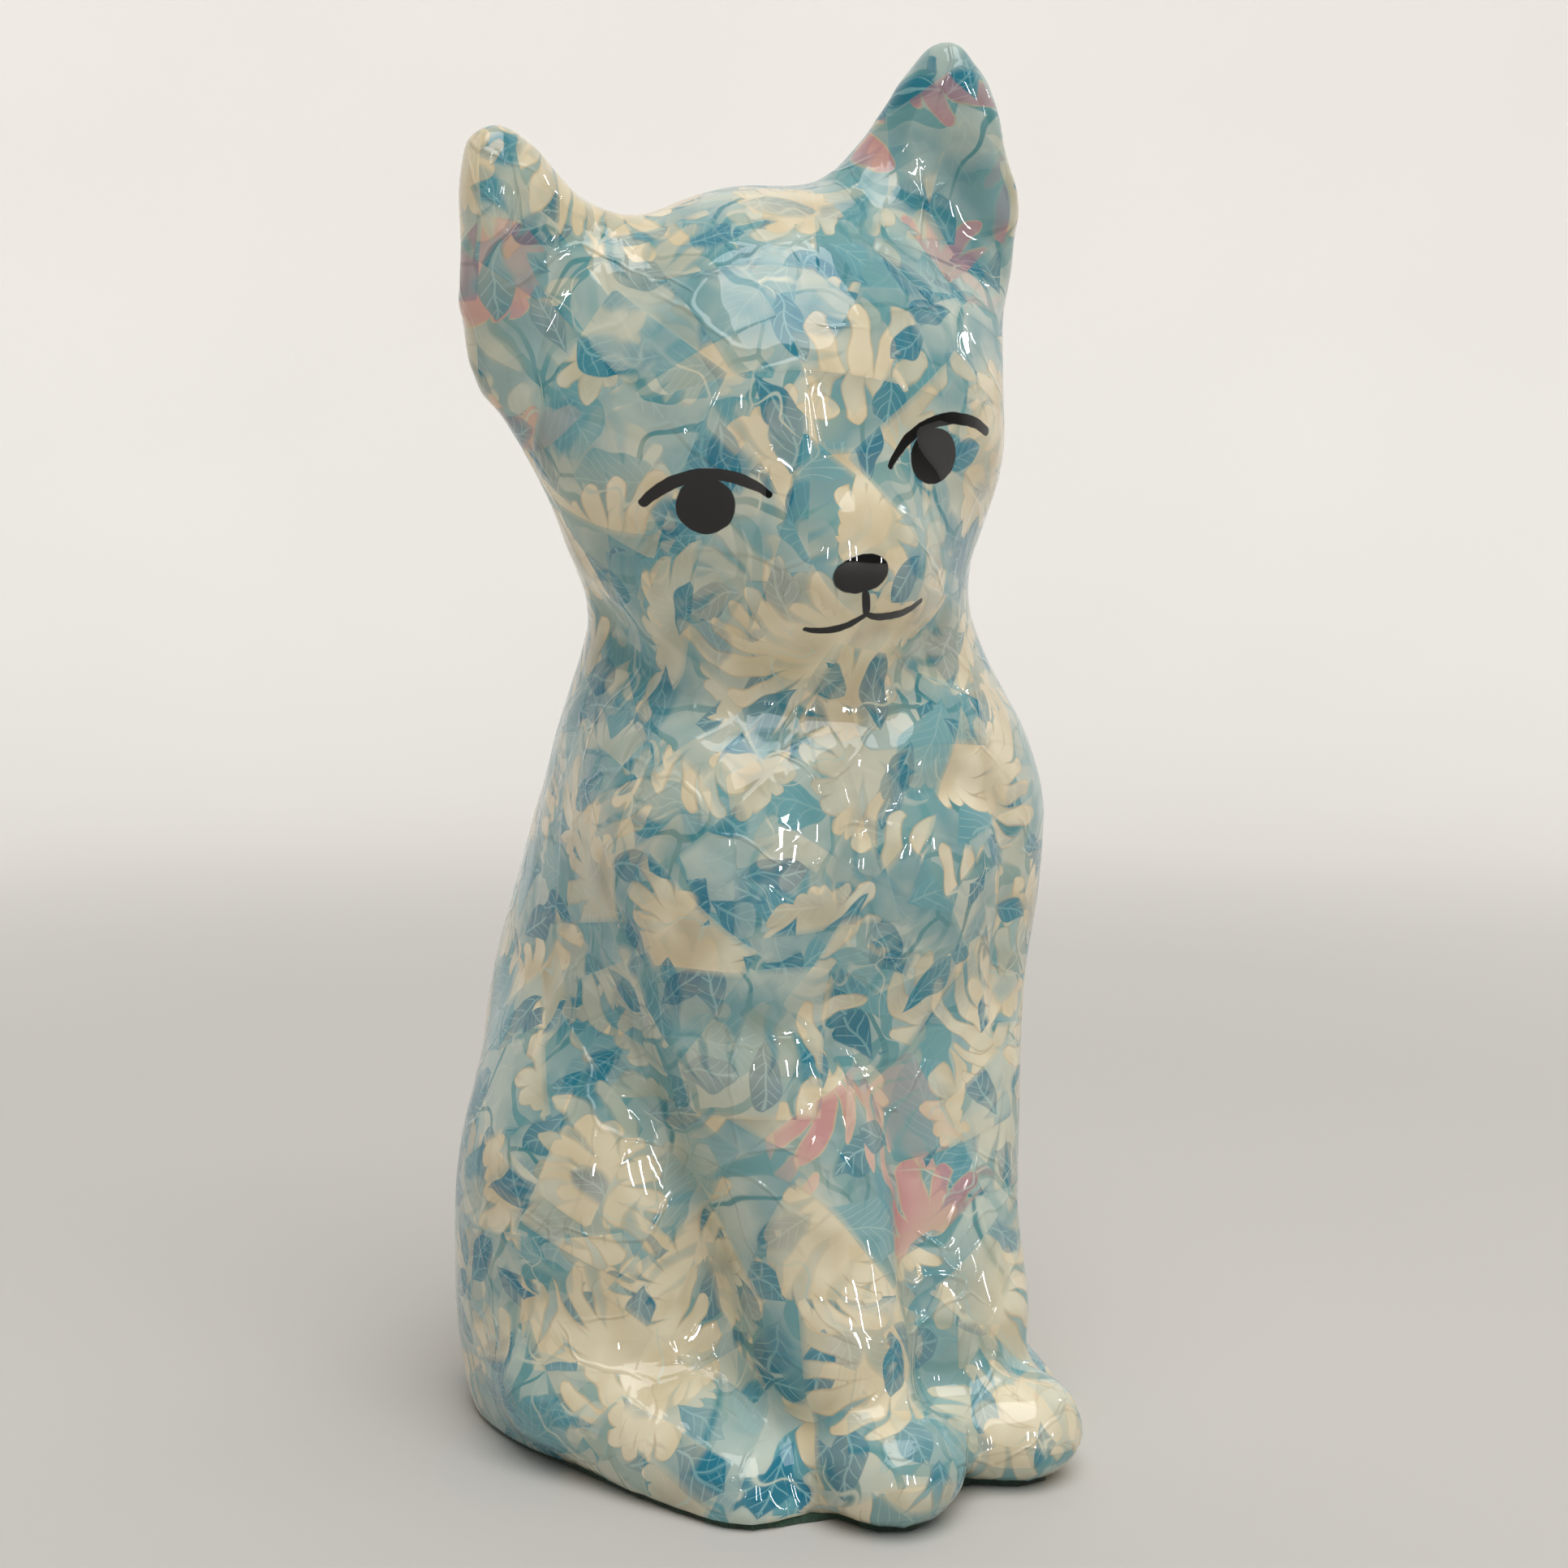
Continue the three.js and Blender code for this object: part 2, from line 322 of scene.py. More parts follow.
def paste_papers(piece):
    """Covers the piece with cut papers in layers, kept as vertex attributes: the sheet's x and y
    in mm and how far inside the cut edge the vertex lies."""
    points = positions(piece.data)
    normals = vertex_normals(piece.data)
    rng = np.random.default_rng(4)
    layers = [np.full((len(points), 3), NO_PAPER) for _ in range(PAPER_LAYERS)]
    covered = np.zeros(len(points))
    pink_spots = [np.array(spot) + np.array(SPINE_FOOT) for spot in PINK_SPOTS]
    # Once to cover the bare places, and once more to overlap
    for wanted in (1, 2):
        for centre in rng.permutation(len(points))[:PASTE_TRIES]:
            if covered[centre] >= wanted:
                continue
            near, paper = cut_piece(points, normals, centre, rng)
            free = [layer for layer in layers if layer[near, 2].max() <= NO_PAPER]
            if not free:
                continue
            is_pink = any(np.linalg.norm(points[centre] - spot) < PINK_REACH for spot in pink_spots)
            corner = rng.uniform(0, PLAIN_SHEET, 2)
            start = PINK_SHEET if is_pink else 0.0
            free[0][near] = paper + [corner[0] + start, corner[1], 0.0]
            covered[near[paper[:, 2] > 0.5]] += 1
    for number, layer in enumerate(layers):
        store(piece.data, f"paper_{number}", layer)
    # Under them all, one sheet is wrapped around the body
    spine = points - np.array(SPINE_FOOT)
    around = np.arctan2(spine[:, 0], -spine[:, 1]) * WRAP_RADIUS
    wrap = np.stack([around + WRAP_SHEET, points[:, 2] + WRAP_SHEET, np.ones(len(points))], axis=1)
    store(piece.data, "paper_wrap", wrap)


def cut_felt(node):
    """The felt pad: its cut edge is slightly rounded and furry."""
    piece = merged_copy(node, "felt_base")
    bm = bmesh.new()
    bm.from_mesh(piece.data)
    bmesh.ops.dissolve_limit(
        bm, angle_limit=math.radians(1), verts=bm.verts, edges=bm.edges, delimit={"NORMAL"}
    )
    rim = [e for e in bm.edges if len(e.link_faces) == 2 and e.calc_face_angle() > math.radians(60)]
    level = [e for e in rim if abs(e.verts[0].co.z - e.verts[1].co.z) < 0.01 * MM]
    bmesh.ops.bevel(
        bm, geom=level, offset=FELT_EDGE * MM, offset_type="OFFSET", segments=2, profile=0.5,
        affect="EDGES", material=-1,
    )
    long_edges = [e for e in bm.edges if e.calc_length() > 1.6 * MM]
    bmesh.ops.subdivide_edges(bm, edges=long_edges, cuts=2, use_grid_fill=True)
    for v in bm.verts:
        if 0.1 * MM < v.co.z < (FELT_TOP - 0.1) * MM:
            v.co += v.normal * FELT_FLUFF * MM * ripple(v.co / MM, 1.5)
    bm.to_mesh(piece.data)
    bm.free()
    piece.data.shade_smooth()
    return piece


def ink(code):
    """A colour from its sRGB hex code, as linear red, green, blue and alpha."""
    channels = [int(code[i : i + 2], 16) / 255 for i in (1, 3, 5)]
    return [c / 12.92 if c <= 0.04045 else ((c + 0.055) / 1.055) ** 2.4 for c in channels] + [1.0]


def join(tree, value, socket):
    """Sets a node's socket to a value, or links it to a socket or to a node's first output."""
    if isinstance(value, bpy.types.Node):
        value = next(s for s in value.outputs if s.enabled)
    if isinstance(value, bpy.types.NodeSocket):
        tree.links.new(value, socket)
    else:
        socket.default_value = value


def add(tree, kind, inputs=(), **settings):
    """Adds a node of a kind, with its settings, to a tree and returns it. Its inputs are a list in
    their order or a dict by name, and each is a value, or a node or socket to link."""
    node = tree.nodes.new("ShaderNode" + kind)
    for name, value in settings.items():
        setattr(node, name, value)
    if isinstance(inputs, dict):
        pairs = [(node.inputs[name], value) for name, value in inputs.items()]
    else:
        pairs = zip([s for s in node.inputs if s.enabled], inputs)
    for socket, value in pairs:
        join(tree, value, socket)
    return node


def in_cells(tree, sheet, spacing, scatter):
    """Divides a sheet into cells about a spacing apart: the place inside the cell, turned at
    random, and three random numbers for the cell."""
    cells = add(
        tree, "TexVoronoi", {"Vector": sheet, "Scale": 1 / spacing, "Randomness": scatter},
        voronoi_dimensions="2D",
    )
    place = add(tree, "VectorMath", [sheet, cells.outputs["Position"]], operation="SUBTRACT")
    chance = add(tree, "SeparateColor", [cells.outputs["Color"]])
    angle = add(tree, "Math", [chance.outputs["Red"], 2 * math.pi], operation="MULTIPLY")
    turned = add(tree, "VectorRotate", {"Vector": place, "Angle": angle}, rotation_type="Z_AXIS")
    return turned, chance


def print_leaves(tree, under, sheet, soft, hard, spacing, length, width, share, colours):
    """Prints pointed leaves with a midrib and slanting veins over a colour."""
    turned, chance = in_cells(tree, sheet, spacing, 0.75)
    place = add(tree, "SeparateXYZ", [turned])

    # A pointed oval, wider towards its stem
    across = add(tree, "Math", [place.outputs["Y"]], operation="ABSOLUTE")
    along = add(tree, "Math", [place.outputs["X"], 2 / length], operation="MULTIPLY")
    bulge = add(tree, "Math", [along, along, -1.0], operation="MULTIPLY_ADD")
    lean = add(tree, "Math", [along, 0.45, -1.0], operation="MULTIPLY_ADD")
    half = add(tree, "Math", [bulge, lean], operation="MULTIPLY")
    half_mm = add(tree, "Math", [half, width / 2], operation="MULTIPLY")
    inside = add(tree, "Math", [half_mm, across], operation="SUBTRACT")
    shape = add(tree, "MapRange", [inside, hard, soft], interpolation_type="SMOOTHSTEP")
    present = add(tree, "Math", [chance.outputs["Green"], share], operation="LESS_THAN")
    leaf = add(tree, "Math", [shape, present], operation="MULTIPLY")

    # A midrib and slanting side veins that stop short of the outline
    slant = add(tree, "Math", [across, 1.1, place.outputs["X"]], operation="MULTIPLY_ADD")
    row = add(tree, "Math", [slant, 1.1], operation="PINGPONG")
    side_veins = add(tree, "MapRange", [row, 0.2, 0.05])
    midrib = add(tree, "MapRange", [across, 0.28, 0.1])
    lines = add(tree, "Math", [side_veins, midrib], operation="MAXIMUM")
    clear_of_edge = add(tree, "MapRange", [inside, 0.1, 0.5])
    veins = add(tree, "Math", [lines, clear_of_edge], operation="MULTIPLY")
    depth = add(tree, "Mix", [chance.outputs["Blue"], ink(colours[0]), ink(colours[1])], data_type="RGBA")
    veined = add(tree, "Mix", [veins, depth, ink(colours[2])], data_type="RGBA")
    return add(tree, "Mix", [leaf, under, veined], data_type="RGBA")


def print_blossoms(tree, under, sheet, soft, hard, spacing, radius, petals, share, petal_colour):
    """Prints lopsided blossoms over a colour: long separate petals from one body, bent to a side."""
    turned, chance = in_cells(tree, sheet, spacing, 0.7)
    place = add(tree, "SeparateXYZ", [turned])
    out = add(tree, "VectorMath", [turned], operation="LENGTH").outputs["Value"]

    # Which petal a point is nearest to, and how far from that petal's middle line
    angle = add(tree, "Math", [place.outputs["Y"], place.outputs["X"]], operation="ARCTAN2")
    bend = add(tree, "MapRange", {"Value": chance.outputs["Blue"], "To Min": -0.07, "To Max": 0.07})
    bent = add(tree, "Math", [out, bend, angle], operation="MULTIPLY_ADD")
    count = add(tree, "Math", [bent, petals / (2 * math.pi)], operation="MULTIPLY")
    petal = add(tree, "Math", [count], operation="FLOOR")
    part = add(tree, "Math", [count, petal], operation="SUBTRACT")
    off_axis = add(
        tree, "Math", [part, 2 * math.pi / petals, -math.pi / petals], operation="MULTIPLY_ADD"
    )
    sideways = add(tree, "Math", [off_axis], operation="SINE")
    across = add(tree, "Math", [out, sideways], operation="MULTIPLY")
    across = add(tree, "Math", [across], operation="ABSOLUTE")

    # Each petal has its own length and width, and those to one side are the longest
    number = add(tree, "Math", [chance.outputs["Red"], 57.0, petal], operation="MULTIPLY_ADD")
    luck = add(tree, "TexWhiteNoise", {"W": number}, noise_dimensions="1D")
    reach = add(
        tree, "Math", [luck.outputs["Value"], 0.3 * radius, 0.62 * radius], operation="MULTIPLY_ADD"
    )
    forward = add(tree, "Math", [bent], operation="COSINE")
    lopsided = add(tree, "Math", [forward, 0.32, 0.78], operation="MULTIPLY_ADD")
    length = add(tree, "Math", [reach, lopsided], operation="MULTIPLY")
    left = add(tree, "Math", [length, out], operation="SUBTRACT")
    left = add(tree, "Math", [left, 0.0], operation="MAXIMUM")
    tip = add(tree, "Math", [left], operation="SQRT")
    round_tip = add(tree, "Math", [tip, 1.7], operation="MULTIPLY")
    finger = add(tree, "Math", [luck.outputs["Value"], 0.6, 1.7], operation="MULTIPLY_ADD")
    half = add(tree, "Math", [finger, round_tip], operation="MINIMUM")
    inside = add(tree, "Math", [half, across], operation="SUBTRACT")
    shape = add(tree, "MapRange", [inside, hard, soft], interpolation_type="SMOOTHSTEP")
    present = add(tree, "Math", [chance.outputs["Green"], share], operation="LESS_THAN")
    on_petal = add(tree, "Math", [left, 0.0], operation="GREATER_THAN")
    flower = add(tree, "Math", [shape, present], operation="MULTIPLY")
    flower = add(tree, "Math", [flower, on_petal], operation="MULTIPLY")

    # Petals are darker at their outline and towards the heart
    rim = add(tree, "MapRange", [inside, 0.1, 0.5])
    petal_tone = add(tree, "Mix", [rim, ink("#d3bf99"), petal_colour], data_type="RGBA")
    heart = add(tree, "MapRange", [out, 6.0, 0.0, 0.0, 0.5])
    bloom = add(tree, "Mix", [heart, petal_tone, ink("#b5a27c")], data_type="RGBA")
    return add(tree, "Mix", [flower, under, bloom], data_type="RGBA")


def border_lines(tree, sheet, sway, bend, spacing, half_width, soft, hard):
    """Lines along the borders of cells that a soft noise sways by up to bend, in mm."""
    swayed = add(
        tree, "VectorMath", [sway.outputs["Color"], (bend, bend, 0), sheet], operation="MULTIPLY_ADD"
    )
    borders = add(
        tree, "TexVoronoi", {"Vector": swayed, "Scale": 1 / spacing},
        voronoi_dimensions="2D", feature="DISTANCE_TO_EDGE",
    )
    inside = add(
        tree, "Math", [borders.outputs["Distance"], -spacing, half_width], operation="MULTIPLY_ADD"
    )
    return add(tree, "MapRange", [inside, hard, soft], interpolation_type="SMOOTHSTEP")


def printed_sheet():
    """The print: cream and pink blossoms, teal leaves, twigs and fine tendrils on pale aqua.
    It takes the sheet's x and y in mm and how soft its outlines are."""
    tree = bpy.data.node_groups.new("printed_floral_sheet", "ShaderNodeTree")
    tree.interface.new_socket("Sheet", in_out="INPUT", socket_type="NodeSocketVector")
    tree.interface.new_socket("Softness", in_out="INPUT", socket_type="NodeSocketFloat")
    tree.interface.new_socket("Colour", in_out="OUTPUT", socket_type="NodeSocketColor")
    given = tree.nodes.new("NodeGroupInput")
    soft = given.outputs["Softness"]
    hard = add(tree, "Math", [soft, -1.0], operation="MULTIPLY")

    # Drawn by hand, so nothing is quite straight
    unsteady = add(
        tree, "TexNoise", {"Vector": given.outputs["Sheet"], "Scale": 1 / 9, "Detail": 1.0},
        noise_dimensions="2D",
    )
    sheet = add(
        tree, "VectorMath", [unsteady.outputs["Color"], (4, 4, 0), given.outputs["Sheet"]],
        operation="MULTIPLY_ADD",
    )

    mottle = add(tree, "TexNoise", {"Vector": sheet, "Scale": 1 / 22, "Detail": 3.0}, noise_dimensions="2D")
    tint = add(tree, "MapRange", [mottle, 0.36, 0.62])
    colour = add(tree, "Mix", [tint, ink("#72a4aa"), ink("#c9d5c8")], data_type="RGBA")

    # Twigs: broad pale ones and thin darker ones
    sway = add(tree, "TexNoise", {"Vector": sheet, "Scale": 1 / 14, "Detail": 0.0}, noise_dimensions="2D")
    for bend, spacing, half_width, tone in ((18, 31, 1.5, "#73a8a9"), (12, 23, 0.6, "#5c989b")):
        twig = border_lines(tree, sheet, sway, bend, spacing, half_width, soft, hard)
        colour = add(tree, "Mix", [twig, colour, ink(tone)], data_type="RGBA")

    corner = add(tree, "SeparateXYZ", [sheet])
    is_pink = add(tree, "Math", [corner.outputs["X"], PINK_SHEET / 2], operation="GREATER_THAN")
    wash = add(tree, "MapRange", [unsteady, 0.35, 0.65])
    cream = add(tree, "Mix", [wash, ink("#e3d3ae"), ink("#f5eacc")], data_type="RGBA")
    small = add(tree, "Mix", [is_pink, cream, ink("#d39396")], data_type="RGBA")
    large = add(tree, "Mix", [is_pink, cream, ink("#dfb5a8")], data_type="RGBA")

    # Leaves by their spacing, length and width, and blossoms by their spacing, radius and number
    # of petals, each with the share of the cells that hold one
    pale = ("#62a2ad", "#7bb1b6", "#94c0c0")
    clear = ("#38899b", "#287b94", "#86b9bf")
    deep = ("#1f7390", "#34889c", "#7fb4bc")
    colour = print_leaves(tree, colour, sheet, soft, hard, 24, 20, 11, 0.75, pale)
    colour = print_blossoms(tree, colour, sheet, soft, hard, 34, 17.0, 11, 0.85, small)
    colour = print_leaves(tree, colour, sheet, soft, hard, 16, 13, 6.0, 0.6, clear)
    colour = print_blossoms(tree, colour, sheet, soft, hard, 45, 25.0, 16, 0.95, large)
    colour = print_leaves(tree, colour, sheet, soft, hard, 22, 11, 5.5, 0.55, deep)

    # Fine tendrils that come and go
    curl = add(tree, "TexNoise", {"Vector": sheet, "Scale": 1 / 7, "Detail": 0.0}, noise_dimensions="2D")
    line = border_lines(tree, sheet, curl, 9, 23, 0.22, soft, hard)
    comes = add(tree, "MapRange", [mottle, 0.52, 0.6])
    tendril = add(tree, "Math", [line, comes], operation="MULTIPLY")
    colour = add(tree, "Mix", [tendril, colour, ink("#d3dccb")], data_type="RGBA")

    result = tree.nodes.new("NodeGroupOutput")
    join(tree, colour, result.inputs["Colour"])
    return tree


def in_disc(tree, face, x, z, wide, high):
    """How far inside a painted disc a place on the face lies, in mm."""
    disc = add(
        tree, "Mapping", {"Vector": face, "Location": (x, 0, z), "Scale": (wide, 1, high)},
        vector_type="TEXTURE",
    )
    flat = add(tree, "VectorMath", [disc, (1, 0, 1)], operation="MULTIPLY")
    out = add(tree, "VectorMath", [flat], operation="LENGTH")
    return add(tree, "Math", [out.outputs["Value"], -high, high], operation="MULTIPLY_ADD")


def in_stroke(tree, face, x, z, radius, middle, half_span, half_width, widening):
    """How far inside a brush stroke along an arc a place on the face lies, in mm."""
    span = math.radians(half_span)
    arc = add(
        tree, "Mapping",
        {"Vector": face, "Location": (x, 0, z), "Rotation": (0, math.radians(90 - middle), 0)},
        vector_type="TEXTURE",
    )
    part = add(tree, "SeparateXYZ", [arc])
    aside = add(tree, "Math", [part.outputs["X"]], operation="ABSOLUTE")
    folded = add(tree, "CombineXYZ", {"X": aside, "Z": part.outputs["Z"]})

    # The distance from the arc, or from its end where the place is past that
    out = add(tree, "VectorMath", [folded], operation="LENGTH")
    off_ring = add(tree, "Math", [out.outputs["Value"], radius], operation="SUBTRACT")
    off_ring = add(tree, "Math", [off_ring], operation="ABSOLUTE")
    end = (radius * math.sin(span), 0, radius * math.cos(span))
    off_end = add(tree, "VectorMath", [folded, end], operation="DISTANCE")
    outwards = (math.cos(span), 0, -math.sin(span))
    past = add(tree, "VectorMath", [folded, outwards], operation="DOT_PRODUCT")
    is_past = add(tree, "Math", [past.outputs["Value"], 0.0], operation="GREATER_THAN")
    away = add(tree, "Mix", [is_past, off_ring, off_end.outputs["Value"]], data_type="FLOAT")

    # The brush is lifted towards both ends
    wide = add(tree, "Math", [part.outputs["X"], -widening, half_width], operation="MULTIPLY_ADD")
    near_end = add(tree, "Math", [aside, 1 / end[0]], operation="MULTIPLY")
    near_end = add(tree, "Math", [near_end, 3.0], operation="POWER")
    wide = add(tree, "Math", [near_end, -STROKE_TAPER * half_width, wide], operation="MULTIPLY_ADD")
    return add(tree, "Math", [wide, away], operation="SUBTRACT")


def brush_marks(tree):
    """The painted eyes, nose, lashes and mouth: 1 in them and 0 beside them."""
    place = add(tree, "TexCoord")
    head = add(
        tree, "Mapping",
        {
            "Vector": place.outputs["Object"],
            "Location": (HEAD_CENTRE + SPINE_FOOT) * MM,
            "Rotation": [math.radians(turn) for turn in HEAD_TURNS],
            "Scale": (MM, MM, MM),
        },
        vector_type="TEXTURE",
    )
    unsteady = add(tree, "TexNoise", {"Vector": head, "Scale": 0.35, "Detail": 1.0})
    face = add(
        tree, "VectorMath", [unsteady.outputs["Color"], (HAND_SHAKE, 0.0, HAND_SHAKE), head],
        operation="MULTIPLY_ADD",
    )
    face = add(tree, "VectorMath", [face, (-HAND_SHAKE / 2, 0.0, -HAND_SHAKE / 2)], operation="ADD")
    marks = [in_disc(tree, face, *disc) for disc in DISCS.values()]
    marks += [in_stroke(tree, face, *stroke) for stroke in STROKES.values()]
    inside = marks[0]
    for mark in marks[1:]:
        inside = add(tree, "Math", [inside, mark], operation="MAXIMUM")
    depth = add(tree, "SeparateXYZ", [head])
    on_face = add(tree, "Math", [depth.outputs["Y"], -FACE_FRONT], operation="LESS_THAN")
    shown = add(tree, "MapRange", [inside, -0.1, 0.1], interpolation_type="SMOOTHSTEP")
    return add(tree, "Math", [shown, on_face], operation="MULTIPLY")


def varnished_paper():
    """Decoupage: thin printed paper pasted in overlapping pieces under a thick clear varnish.
    The eye sees matte, slightly see-through print, cut edges as faint steps, and over it all a
    wet, wavy gloss. The face is black enamel, brushed on by hand."""
    material = bpy.data.materials.new("varnished_printed_paper")
    material.use_nodes = True
    tree = material.node_tree
    shader = tree.nodes["Principled BSDF"]

    # From the lowest paper to the topmost: each covers what is there, which then shows through
    sheet = add(tree, "Attribute", attribute_name="paper_wrap").outputs["Vector"]
    below = sheet
    from_edge = DEEP_INSIDE
    thickness = 0.0
    for number in range(PAPER_LAYERS):
        paper = add(tree, "Attribute", attribute_name=f"paper_{number}").outputs["Vector"]
        inside = add(tree, "SeparateXYZ", [paper]).outputs["Z"]
        cut = add(tree, "Math", [inside, 0.0], operation="GREATER_THAN")
        below = add(tree, "Mix", [cut, below, sheet], data_type="VECTOR")
        sheet = add(tree, "Mix", [cut, sheet, paper], data_type="VECTOR")
        from_edge = add(tree, "Mix", [cut, from_edge, inside], data_type="FLOAT")
        step = add(tree, "MapRange", [inside, -0.5, 0.5], interpolation_type="SMOOTHSTEP")
        thickness = add(tree, "Math", [step, 0.07, thickness], operation="MULTIPLY_ADD")
    sheet = add(tree, "VectorMath", [sheet, (1, 1, 0)], operation="MULTIPLY")
    below = add(tree, "VectorMath", [below, (1, 1, 0)], operation="MULTIPLY")

    # The print below shows through where its cover is soaked thin, and at the cut edges
    floral = printed_sheet()
    top = add(tree, "Group", {"Sheet": sheet, "Softness": 0.18}, node_tree=floral)
    through = add(tree, "Group", {"Sheet": below, "Softness": 0.9}, node_tree=floral)
    place = add(tree, "TexCoord").outputs["Object"]
    soaking = add(tree, "TexNoise", {"Vector": place, "Scale": 1 / (22 * MM), "Detail": 1.0})
    thin = add(tree, "MapRange", [soaking, 0.35, 0.65, 0.12, 0.5])
    clear = add(tree, "MapRange", {"Value": from_edge, "From Max": 1.2, "To Min": 0.65, "To Max": thin})
    print_colour = add(tree, "Mix", [clear, top, through], data_type="RGBA")

    paint = brush_marks(tree)
    colour = add(tree, "Mix", [paint, print_colour, ink("#0b0b0b")], data_type="RGBA")
    join(tree, colour, shader.inputs["Base Color"])

    # Relief in mm: paper edges, wandering folds where the wet paper was creased, and runs of
    # varnish, drawn out downwards
    sway = add(tree, "TexNoise", {"Vector": place, "Scale": 1 / (14 * MM), "Detail": 2.0})
    swayed = add(
        tree, "VectorMath", [sway.outputs["Color"], (9 * MM, 9 * MM, 9 * MM), place],
        operation="MULTIPLY_ADD",
    )
    folds = add(
        tree, "TexVoronoi", {"Vector": swayed, "Scale": 1 / (17 * MM)}, feature="DISTANCE_TO_EDGE"
    )
    fold = add(tree, "MapRange", [folds.outputs["Distance"], 0.04, 0.0], interpolation_type="SMOOTHSTEP")
    folded = add(tree, "MapRange", [soaking, 0.46, 0.56])
    fold = add(tree, "Math", [fold, folded], operation="MULTIPLY")
    relief = add(tree, "Math", [fold, 0.16, thickness], operation="MULTIPLY_ADD")
    relief = add(tree, "Mix", [paint, relief, 0.2], data_type="FLOAT")
    downwards = add(tree, "VectorMath", [place, (1, 1, 0.22)], operation="MULTIPLY")
    runs = add(tree, "TexNoise", {"Vector": downwards, "Scale": 1 / (3.5 * MM), "Detail": 0.5})
    relief = add(tree, "Math", [runs, 0.1, relief], operation="MULTIPLY_ADD")
    surface = add(tree, "Bump", {"Strength": 1.0, "Distance": MM, "Height": relief})
    join(tree, surface, shader.inputs["Normal"])
    join(tree, surface, shader.inputs["Coat Normal"])
    shader.inputs["Roughness"].default_value = 0.5
    shader.inputs["Specular IOR Level"].default_value = 0.05
    shader.inputs["Coat Weight"].default_value = 1.0
    shader.inputs["Coat Roughness"].default_value = 0.018
    shader.inputs["Coat IOR"].default_value = 1.5
    return material


def wool_felt():
    """Pressed wool felt, dyed dark green: matte, with a short tangled nap."""
    material = bpy.data.materials.new("pressed_wool_felt")
    material.use_nodes = True
    tree = material.node_tree
    shader = tree.nodes["Principled BSDF"]
    place = add(tree, "TexCoord").outputs["Object"]
    # Felt fibres are about 0.03 mm thick: they are drawn ten times as coarse, to show
    fibres = add(
        tree, "TexNoise", {"Vector": place, "Scale": 1 / (0.6 * MM), "Detail": 4.0, "Distortion": 2.0}
    )
    clumps = add(tree, "TexNoise", {"Vector": place, "Scale": 1 / (4 * MM), "Detail": 2.0})
    blend = add(tree, "Math", [fibres, clumps], operation="MULTIPLY")
    spread = add(tree, "MapRange", [blend, 0.15, 0.4])
    colour = add(tree, "Mix", [spread, ink("#16301f"), ink("#2f5a40")], data_type="RGBA")
    join(tree, colour, shader.inputs["Base Color"])
    nap = add(tree, "Bump", {"Strength": 1.0, "Distance": 0.2 * MM, "Height": fibres})
    join(tree, nap, shader.inputs["Normal"])
    shader.inputs["Roughness"].default_value = 0.95
    shader.inputs["Sheen Weight"].default_value = 0.4
    return material


def direction(azimuth, elevation):
    """The unit vector towards an azimuth, 0 in front and 90 at the kitten's left, and elevation."""
    az, el = math.radians(azimuth), math.radians(elevation)
    return Vector((math.sin(az) * math.cos(el), -math.cos(az) * math.cos(el), math.sin(el)))


def pale_paint_with_glow():
    """Matte off-white paint, faintly cloudy. Far from the kitten it glows with painted light, the more
    the farther out, standing in for light on the far floor and wall."""
    material = bpy.data.materials.new("pale_studio_paint_with_painted_glow")
    material.use_nodes = True
    tree = material.node_tree
    shader = tree.nodes["Principled BSDF"]
    place = add(tree, "TexCoord").outputs["Object"]
    cloud = add(tree, "TexNoise", {"Vector": place, "Scale": 3.0, "Detail": 2.0})
    colour = add(tree, "Mix", [cloud, ink("#c9c6c1"), ink("#cfccc7")], data_type="RGBA")
    join(tree, colour, shader.inputs["Base Color"])
    shader.inputs["Roughness"].default_value = 0.8
    # Painted light: the paint glows more the farther it lies from the middle, from none within 0.3 m to its
    # full strength past 1.5 m
    level = add(tree, "VectorMath", [place, (1, 1, 0)], operation="MULTIPLY")
    away = add(tree, "VectorMath", [level], operation="LENGTH").outputs["Value"]
    painted_glow = add(tree, "MapRange", [away, 0.3, 1.5, 0.0, 0.6], interpolation_type="SMOOTHSTEP")
    join(tree, colour, shader.inputs["Emission Color"])
    join(tree, painted_glow, shader.inputs["Emission Strength"])
    return material


def painted(name, bm, paint):
    """A piece of the studio, from the mesh that bm holds."""
    mesh = bpy.data.meshes.new(name)
    bm.to_mesh(mesh)
    bm.free()
    mesh.shade_smooth()
    mesh.materials.append(paint)
    piece = bpy.data.objects.new(name, mesh)
    bpy.context.scene.collection.objects.link(piece)
    return piece


def lay_floor(paint):
    """A plain flat floor."""
    bm = bmesh.new()
    bmesh.ops.create_grid(bm, x_segments=1, y_segments=1, size=FLOOR_SIDE / 2)
    floor = painted("floor", bm, paint)


def bend_backdrop(paint):
    """The floor runs up into a wall in one curve, all round and far away. It lights nothing."""
    bm = bmesh.new()
    start = bm.verts.new((BACKDROP_RADIUS, 0.0, 0.0005))
    bmesh.ops.spin(
        bm, geom=[start], cent=(BACKDROP_RADIUS, 0.0, BACKDROP_CURVE), axis=(0, -1, 0), dvec=(0, 0, 0),
        angle=math.radians(90), steps=24, use_duplicate=False,
    )
    top = max(bm.verts, key=lambda v: v.co.z)
    rim = bm.verts.new((BACKDROP_RADIUS + BACKDROP_CURVE, 0.0, BACKDROP_TOP))
    bm.edges.new((top, rim))
    bmesh.ops.spin(
        bm, geom=bm.verts[:] + bm.edges[:], cent=(0, 0, 0), axis=(0, 0, 1), dvec=(0, 0, 0),
        angle=2 * math.pi, steps=96, use_merge=True, use_duplicate=False,
    )
    bmesh.ops.recalc_face_normals(bm, faces=bm.faces)
    backdrop = painted("backdrop", bm, paint)
    for unseen in ("visible_diffuse", "visible_glossy", "visible_transmission", "visible_shadow"):
        setattr(backdrop, unseen, False)


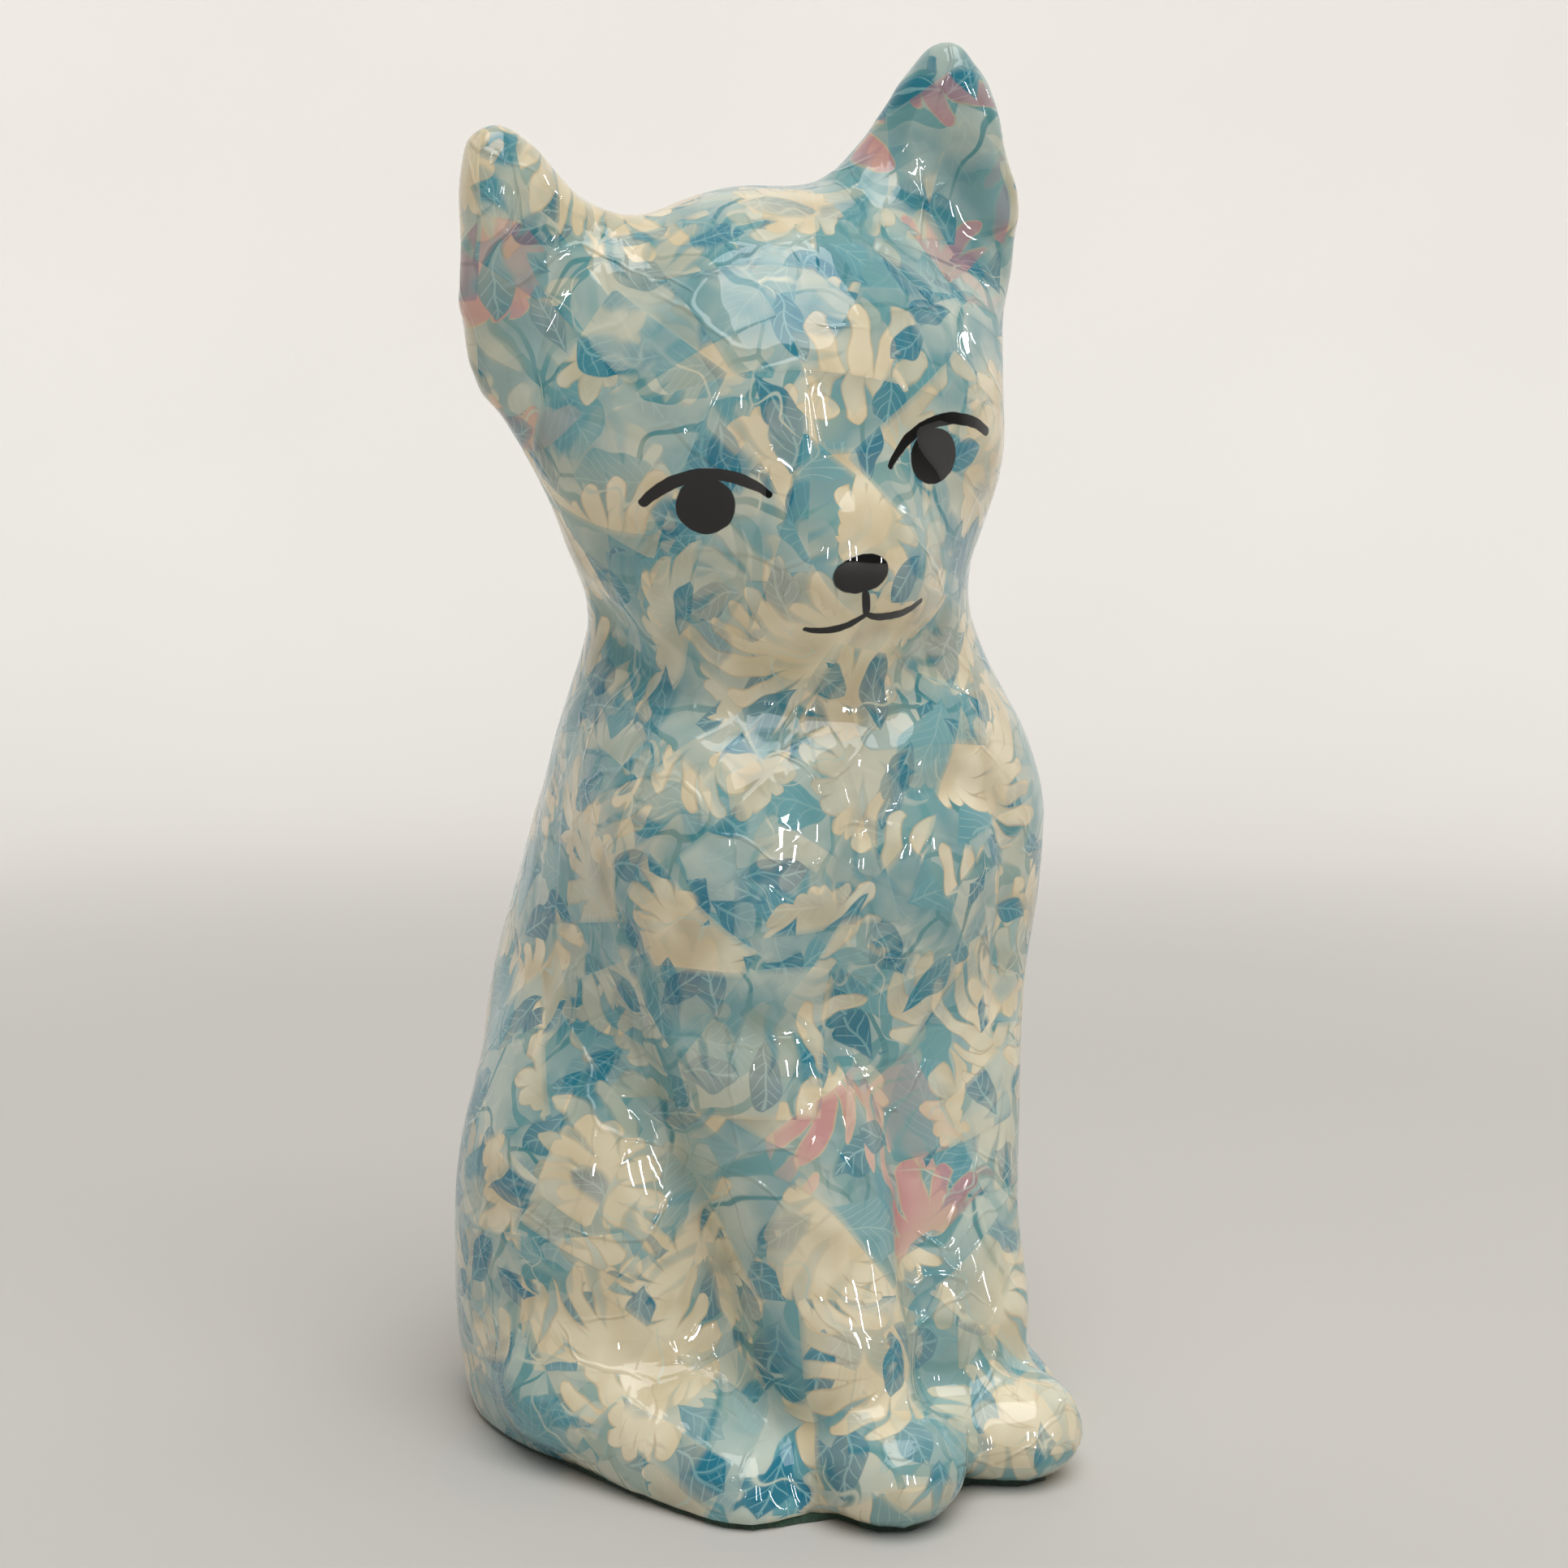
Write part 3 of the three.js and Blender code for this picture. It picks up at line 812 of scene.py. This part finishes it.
def light_room():
    """The room's own light: a bright wall behind the kitten, and less light from the front."""
    world = bpy.data.worlds.new("soft_room")
    world.use_nodes = True
    tree = world.node_tree
    towards = add(tree, "TexCoord").outputs["Generated"]
    forward = -direction(CAMERA_AZIMUTH, 0)
    facing = add(tree, "VectorMath", [towards, forward], operation="DOT_PRODUCT")
    wall = add(tree, "MapRange", [facing.outputs["Value"], -0.2, 0.7], interpolation_type="SMOOTHSTEP")
    colour = add(tree, "Mix", [wall, ink("#565554"), ink("#e9e4de")], data_type="RGBA")
    background = tree.nodes["Background"]
    join(tree, colour, background.inputs["Color"])
    background.inputs["Strength"].default_value = 1.0
    bpy.context.scene.world = world
    bpy.context.scene.view_settings.view_transform = "Standard"


def stand(piece, azimuth, elevation, distance):
    """Puts a lamp or the camera at a distance in metres from what the camera looks at, facing it."""
    away = direction(azimuth, elevation)
    piece.location = CAMERA_TARGET * MM + away * distance
    piece.rotation_euler = away.to_track_quat("Z", "Y").to_euler()
    bpy.context.scene.collection.objects.link(piece)


def hang_lamps():
    """A wide soft lamp overhead, and narrow ones all round that the varnish reflects."""
    for name, (azimuth, elevation, distance, wide, high, power, lights) in LAMPS.items():
        lamp = bpy.data.lights.new(name, "AREA")
        lamp.shape = "RECTANGLE"
        lamp.size = wide
        lamp.size_y = high
        lamp.energy = power
        holder = bpy.data.objects.new(name, lamp)
        holder.visible_diffuse = lights
        stand(holder, azimuth, elevation, distance)


def place_camera():
    """The camera that the scene is seen through."""
    camera = bpy.data.objects.new("camera", bpy.data.cameras.new("camera"))
    stand(camera, CAMERA_AZIMUTH, CAMERA_ELEVATION, CAMERA_DISTANCE * MM)
    camera.data.lens = CAMERA_LENS
    camera.data.sensor_width = 36.0
    camera.data.clip_start = 0.01
    bpy.context.scene.camera = camera


def studio():
    """The floor, the backdrop, the lights and the camera."""
    # The floor and the backdrop share one paint, which glows far from the kitten: painted light
    paint = pale_paint_with_glow()
    lay_floor(paint)
    bend_backdrop(paint)
    light_room()
    hang_lamps()
    place_camera()


body = cast_body(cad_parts["kitten"])
paste_papers(body)
body.data.materials.append(varnished_paper())
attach(body, "root")
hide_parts("kitten")

felt = cut_felt(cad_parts["felt_pad"])
felt.data.materials.append(wool_felt())
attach(felt, "root")
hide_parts("felt_pad")

studio()
